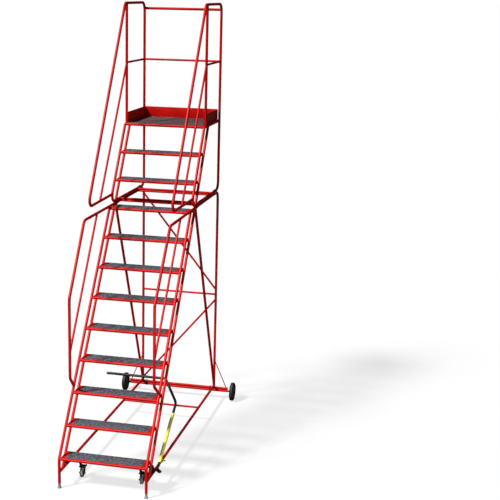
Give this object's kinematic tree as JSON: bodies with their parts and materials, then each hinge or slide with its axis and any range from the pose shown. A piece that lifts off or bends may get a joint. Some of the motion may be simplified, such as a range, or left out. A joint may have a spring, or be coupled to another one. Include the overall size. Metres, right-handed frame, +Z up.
{
  "type": "mobile ladder stand",
  "caption": "Tall mobile ladder stand of welded red tube in two bolted sections: gritted steps, guarded platform, handrails, rear wheels and lever-lowered front castors",
  "frame": {"origin": "on the floor, under the middle of the bounding box", "axes": "+Z up; +X to the user's right when climbing; +Y from the first step towards the rear wheels"},
  "size_m": [1.292, 2.787, 4.2815],
  "materials": {
    "red_paint": "bright red gloss paint on welded steel tube",
    "grit_tread": "steel sheet faced with coarse grey-blue anti-slip grit, on a red nose tube",
    "foot_rubber": "grey rubber foot, flared at the floor",
    "black_paint": "black satin paint on steel",
    "tyre": "solid black rubber tyre with a grey hub",
    "castor_rubber": "dark grey rubber castor wheel",
    "yellow_plastic": "pale yellow plastic sleeve",
    "yellow_paint": "yellow painted steel clamp"
  },
  "bodies": {
    "frame": {"base_rail_left": "red_paint", "base_rail_right": "red_paint", "lower_front_stringer_left": "red_paint", "lower_front_stringer_right": "red_paint", "lower_back_stringer_left": "red_paint", "lower_back_stringer_right": "red_paint", "lower_rear_post_left": "red_paint", "lower_rear_post_right": "red_paint", "lower_handrail_left": "red_paint", "lower_handrail_right": "red_paint", "side_brace_left": "red_paint", "side_brace_right": "red_paint", "upper_front_stringer_left": "red_paint", "upper_front_stringer_right": "red_paint", "upper_back_stringer_left": "red_paint", "upper_back_stringer_right": "red_paint", "upper_rear_post_left": "red_paint", "upper_rear_post_right": "red_paint", "upper_handrail_left": "red_paint", "upper_handrail_right": "red_paint", "guard_post_left": "red_paint", "guard_post_right": "red_paint", "rear_brace_upper": "red_paint", "rear_brace_middle": "red_paint", "rear_brace_lower": "red_paint", "front_joint_cross_lower": "red_paint", "front_joint_cross_upper": "red_paint", "rear_joint_cross_lower": "red_paint", "rear_joint_cross_upper": "red_paint", "base_cross_tube": "red_paint", "rear_beam": "red_paint", "toe_boards": "red_paint", "guard_back_rail": "red_paint", "guard_back_mid_rail": "red_paint", "step_01": "grit_tread", "step_02": "grit_tread", "step_03": "grit_tread", "step_04": "grit_tread", "step_05": "grit_tread", "step_06": "grit_tread", "step_07": "grit_tread", "step_08": "grit_tread", "step_09": "grit_tread", "step_10": "grit_tread", "step_11": "grit_tread", "platform_deck": "grit_tread", "foot_left": "foot_rubber", "foot_right": "foot_rubber", "pivot_bracket_left": "black_paint", "pivot_bracket_right": "black_paint", "lever_stop": "yellow_paint"},
    "rear_wheel_left": {"rear_wheel_left": "tyre"},
    "rear_wheel_right": {"rear_wheel_right": "tyre"},
    "lever": {"hand_lever": "black_paint", "lever_sleeve": "yellow_plastic"},
    "castor_carriage": {"castor_carriage": "black_paint"},
    "castor_fork_left": {"castor_fork_left": "black_paint"},
    "castor_fork_right": {"castor_fork_right": "black_paint"},
    "castor_wheel_left": {"castor_wheel_left": "castor_rubber"},
    "castor_wheel_right": {"castor_wheel_right": "castor_rubber"}
  },
  "joints": [
    {"name": "rear_wheel_left_spin", "type": "hinge", "parent": "frame", "child": "rear_wheel_left", "pos_m": [-0.615, 1.2935, 0.1], "axis": [1, 0, 0], "continuous": true},
    {"name": "rear_wheel_right_spin", "type": "hinge", "parent": "frame", "child": "rear_wheel_right", "pos_m": [0.615, 1.2935, 0.1], "axis": [1, 0, 0], "continuous": true},
    {"name": "lever_swing", "type": "hinge", "parent": "frame", "child": "lever", "pos_m": [0.409, -1.1525, 0.1861], "axis": [-1, 0, 0], "range_deg": [0, 29]},
    {"name": "carriage_swing", "type": "hinge", "parent": "frame", "child": "castor_carriage", "pos_m": [0, -1.1845, 0.2181], "axis": [-1, 0, 0], "range_deg": [0, 10.5]},
    {"name": "castor_left_swivel", "type": "hinge", "parent": "castor_carriage", "child": "castor_fork_left", "pos_m": [-0.288, -1.0765, 0.095], "axis": [0, 0, 1], "continuous": true},
    {"name": "castor_left_roll", "type": "hinge", "parent": "castor_fork_left", "child": "castor_wheel_left", "pos_m": [-0.288, -1.0985, 0.044], "axis": [1, 0, 0], "continuous": true},
    {"name": "castor_right_swivel", "type": "hinge", "parent": "castor_carriage", "child": "castor_fork_right", "pos_m": [0.288, -1.0765, 0.095], "axis": [0, 0, 1], "continuous": true},
    {"name": "castor_right_roll", "type": "hinge", "parent": "castor_fork_right", "child": "castor_wheel_right", "pos_m": [0.288, -1.0985, 0.044], "axis": [1, 0, 0], "continuous": true}
  ],
  "couplings": [
    {"joint": "carriage_swing", "follows": "lever_swing", "ratio": 0.345}
  ]
}
